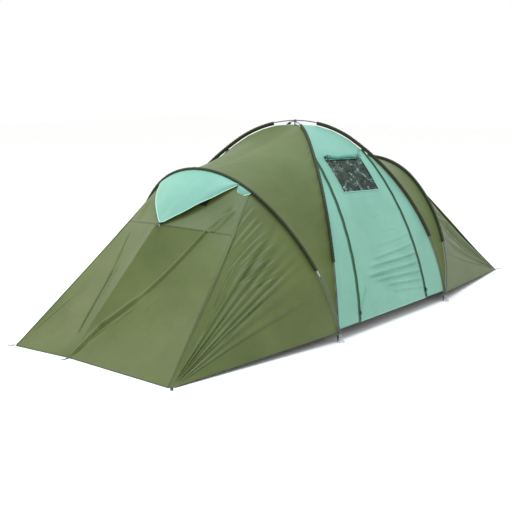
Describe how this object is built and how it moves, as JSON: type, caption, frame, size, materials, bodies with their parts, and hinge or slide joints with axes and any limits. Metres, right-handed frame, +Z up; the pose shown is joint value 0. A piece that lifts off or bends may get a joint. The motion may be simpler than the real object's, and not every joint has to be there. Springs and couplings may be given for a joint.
{
  "type": "dome tunnel tent",
  "caption": "Family tent on four bent poles: crossed dome poles over a living area with two doors, a leaning hoop and a sloping cabin at each end.",
  "frame": {"origin": "on the ground under the crossing of the two dome poles", "axes": "+Z up, +X along the tent towards its right cabin, -Y out of the front door"},
  "size_m": [6.0862, 2.6718, 1.9715],
  "materials": {
    "pole_fibreglass": "pultruded fibreglass tube",
    "plated_steel": "zinc-plated steel",
    "elastic_cord": "braided shock cord",
    "sleeve_webbing": "dark olive pole sleeve",
    "midge_net": "fine black net",
    "clear_film": "clear PVC film",
    "zip_tape": "dark green zip tape",
    "black_zinc": "black enamelled zinc",
    "black_nylon": "moulded nylon",
    "black_webbing": "woven polypropylene",
    "floor_sheet": "woven polyethylene sheet",
    "inner_cloth": "breathable polyester",
    "olive_flysheet": "PU-coated polyester taffeta",
    "mint_flysheet": "PU-coated polyester taffeta"
  },
  "bodies": {
    "tent": {"dome_pole_a_tubes": "pole_fibreglass", "dome_pole_b_tubes": "pole_fibreglass", "left_hoop_tubes": "pole_fibreglass", "right_hoop_tubes": "pole_fibreglass", "pole_ferrules": "plated_steel", "shock_cords": "elastic_cord", "dome_sleeves": "sleeve_webbing", "hoop_sleeves": "sleeve_webbing", "left_roof_front": "olive_flysheet", "left_cabin_side_front": "olive_flysheet", "left_roof_back": "olive_flysheet", "left_cabin_side_back": "olive_flysheet", "left_end_wall": "olive_flysheet", "left_brow_panel": "olive_flysheet", "left_vent_mesh": "midge_net", "left_cabin_floor": "floor_sheet", "left_inner_curtain": "inner_cloth", "right_roof_front": "olive_flysheet", "right_cabin_side_front": "olive_flysheet", "right_roof_back": "olive_flysheet", "right_cabin_side_back": "olive_flysheet", "right_end_wall": "olive_flysheet", "right_brow_panel": "olive_flysheet", "right_vent_mesh": "midge_net", "right_cabin_floor": "floor_sheet", "right_inner_curtain": "inner_cloth", "front_top_panel": "mint_flysheet", "back_top_panel": "mint_flysheet", "front_gussets": "mint_flysheet", "back_gussets": "mint_flysheet", "front_gusset_zip_tapes": "zip_tape", "back_gusset_zip_tapes": "zip_tape", "crown_patch": "olive_flysheet", "crown_hook": "black_nylon", "living_floor": "floor_sheet", "foot_rings_and_pins": "plated_steel", "corner_straps": "black_webbing", "strap_buckles": "black_nylon", "peg_loops": "black_webbing", "peg_rings": "plated_steel"},
    "front_door": {"front_door_panel": "mint_flysheet", "front_window_film": "clear_film", "front_rolled_blind": "mint_flysheet", "front_door_zip_tapes": "zip_tape"},
    "front_right_slider": {"front_right_slider": "black_zinc"},
    "front_right_pull": {"front_right_pull": "black_zinc"},
    "front_left_slider": {"front_left_slider": "black_zinc"},
    "front_left_pull": {"front_left_pull": "black_zinc"},
    "back_door": {"back_door_panel": "mint_flysheet", "back_window_film": "clear_film", "back_rolled_blind": "mint_flysheet", "back_door_zip_tapes": "zip_tape"},
    "back_right_slider": {"back_right_slider": "black_zinc"},
    "back_right_pull": {"back_right_pull": "black_zinc"},
    "back_left_slider": {"back_left_slider": "black_zinc"},
    "back_left_pull": {"back_left_pull": "black_zinc"},
    "left_hood": {"left_vent_hood": "mint_flysheet", "left_hood_toggle": "black_nylon"},
    "right_hood": {"right_vent_hood": "mint_flysheet", "right_hood_toggle": "black_nylon"}
  },
  "joints": [
    {"name": "front_door_lift", "type": "hinge", "parent": "tent", "child": "front_door", "pos_m": [0, -0.57777, 1.6166], "axis": [-1, 0, 0], "range_deg": [0, 36]},
    {"name": "front_right_zip", "type": "hinge", "parent": "tent", "child": "front_right_slider", "pos_m": [0.49877, 1.63706, -0.29602], "axis": [-0.9926, -0.0673, -0.1011], "range_deg": [0, 24.6]},
    {"name": "front_right_pull_flip", "type": "hinge", "parent": "front_right_slider", "child": "front_right_pull", "pos_m": [0.64418, -1.27393, 0.2094], "axis": [-0.9934, -0.0317, -0.1099], "range_deg": [0, 110]},
    {"name": "front_left_zip", "type": "hinge", "parent": "tent", "child": "front_left_slider", "pos_m": [-0.49877, 1.63706, -0.29602], "axis": [-0.9926, 0.0673, 0.1011], "range_deg": [0, 24.6]},
    {"name": "front_left_pull_flip", "type": "hinge", "parent": "front_left_slider", "child": "front_left_pull", "pos_m": [-0.64418, -1.27393, 0.2094], "axis": [-0.9934, 0.0317, 0.1099], "range_deg": [0, 110]},
    {"name": "back_door_lift", "type": "hinge", "parent": "tent", "child": "back_door", "pos_m": [0, 0.57777, 1.6166], "axis": [1, 0, 0], "range_deg": [0, 36]},
    {"name": "back_right_zip", "type": "hinge", "parent": "tent", "child": "back_right_slider", "pos_m": [0.49877, -1.63706, -0.29602], "axis": [0.9926, -0.0673, 0.1011], "range_deg": [0, 24.6]},
    {"name": "back_right_pull_flip", "type": "hinge", "parent": "back_right_slider", "child": "back_right_pull", "pos_m": [0.64418, 1.27393, 0.2094], "axis": [0.9934, -0.0317, 0.1099], "range_deg": [0, 110]},
    {"name": "back_left_zip", "type": "hinge", "parent": "tent", "child": "back_left_slider", "pos_m": [-0.49877, -1.63706, -0.29602], "axis": [0.9926, 0.0673, -0.1011], "range_deg": [0, 24.6]},
    {"name": "back_left_pull_flip", "type": "hinge", "parent": "back_left_slider", "child": "back_left_pull", "pos_m": [-0.64418, 1.27393, 0.2094], "axis": [0.9934, 0.0317, -0.1099], "range_deg": [0, 110]},
    {"name": "left_hood_lift", "type": "hinge", "parent": "tent", "child": "left_hood", "pos_m": [-1.52748, 0, 1.55878], "axis": [0, 1, 0], "range_deg": [0, 15]},
    {"name": "right_hood_lift", "type": "hinge", "parent": "tent", "child": "right_hood", "pos_m": [1.50059, 0, 1.47604], "axis": [0, -1, 0], "range_deg": [0, 15]}
  ]
}
